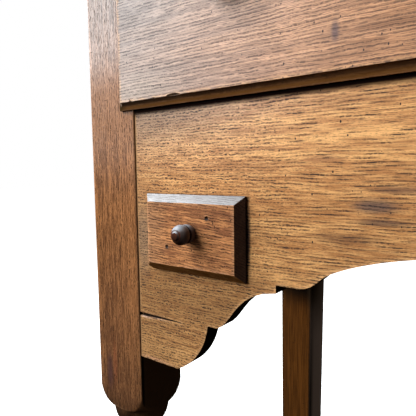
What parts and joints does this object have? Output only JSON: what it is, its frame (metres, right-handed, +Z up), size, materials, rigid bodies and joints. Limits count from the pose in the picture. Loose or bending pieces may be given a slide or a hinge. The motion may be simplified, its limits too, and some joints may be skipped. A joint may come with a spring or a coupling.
{
  "type": "dresser",
  "caption": "Low oak dresser with a long lipped drawer over a shaped, arched apron that holds small spice drawers, on turned front legs and plain back legs.",
  "frame": {"origin": "on the floor under the middle of the dresser's bounding box, with the knobs and the top's overhang in the box", "axes": "+X to the right as seen from the front, -Y out of the drawer fronts, +Z up"},
  "size_m": [0.814, 0.5282, 0.77],
  "materials": {
    "leg_oak": "dark waxed oak",
    "front_oak": "golden brown waxed oak with dark open pores",
    "case_oak": "brown waxed oak",
    "lining_oak": "dry unpolished oak",
    "knob_wood": "dark polished fruitwood"
  },
  "bodies": {
    "carcass": {"front_leg_left": "leg_oak", "front_leg_right": "leg_oak", "rear_leg_left": "leg_oak", "rear_leg_right": "leg_oak", "apron": "front_oak", "side_panel_left": "case_oak", "side_panel_right": "case_oak", "back_board_lower": "case_oak", "back_board_upper": "case_oak", "top_rail": "case_oak", "top_front_board": "case_oak", "top_rear_board": "case_oak", "runner_left": "lining_oak", "runner_right": "lining_oak", "guide_left": "lining_oak", "guide_right": "lining_oak", "kicker_left": "lining_oak", "kicker_right": "lining_oak", "glue_block_1": "lining_oak", "glue_block_2": "lining_oak", "glue_block_3": "lining_oak", "glue_block_4": "lining_oak", "spice_runner_left": "lining_oak", "spice_runner_right": "lining_oak", "spice_guide_outer_left": "lining_oak", "spice_guide_outer_right": "lining_oak", "spice_guide_inner_left": "lining_oak", "spice_guide_inner_right": "lining_oak", "spice_ledger_left": "lining_oak", "spice_ledger_right": "lining_oak"},
    "long_drawer": {"long_drawer_front": "front_oak", "long_drawer_side_left": "lining_oak", "long_drawer_side_right": "lining_oak", "long_drawer_back": "lining_oak", "long_drawer_bottom": "lining_oak", "long_drawer_knob_left": "knob_wood", "long_drawer_knob_right": "knob_wood"},
    "spice_drawer_left": {"spice_drawer_left_front": "front_oak", "spice_drawer_left_side_left": "lining_oak", "spice_drawer_left_side_right": "lining_oak", "spice_drawer_left_back": "lining_oak", "spice_drawer_left_bottom": "lining_oak", "spice_drawer_left_knob": "knob_wood"},
    "spice_drawer_right": {"spice_drawer_right_front": "front_oak", "spice_drawer_right_side_left": "lining_oak", "spice_drawer_right_side_right": "lining_oak", "spice_drawer_right_back": "lining_oak", "spice_drawer_right_bottom": "lining_oak", "spice_drawer_right_knob": "knob_wood"}
  },
  "joints": [
    {"name": "long_drawer_slide", "type": "slide", "parent": "carcass", "child": "long_drawer", "axis": [0, -1, 0], "range_m": [0, 0.3]},
    {"name": "spice_drawer_left_slide", "type": "slide", "parent": "carcass", "child": "spice_drawer_left", "axis": [0, -1, 0], "range_m": [0, 0.12]},
    {"name": "spice_drawer_right_slide", "type": "slide", "parent": "carcass", "child": "spice_drawer_right", "axis": [0, -1, 0], "range_m": [0, 0.12]}
  ]
}
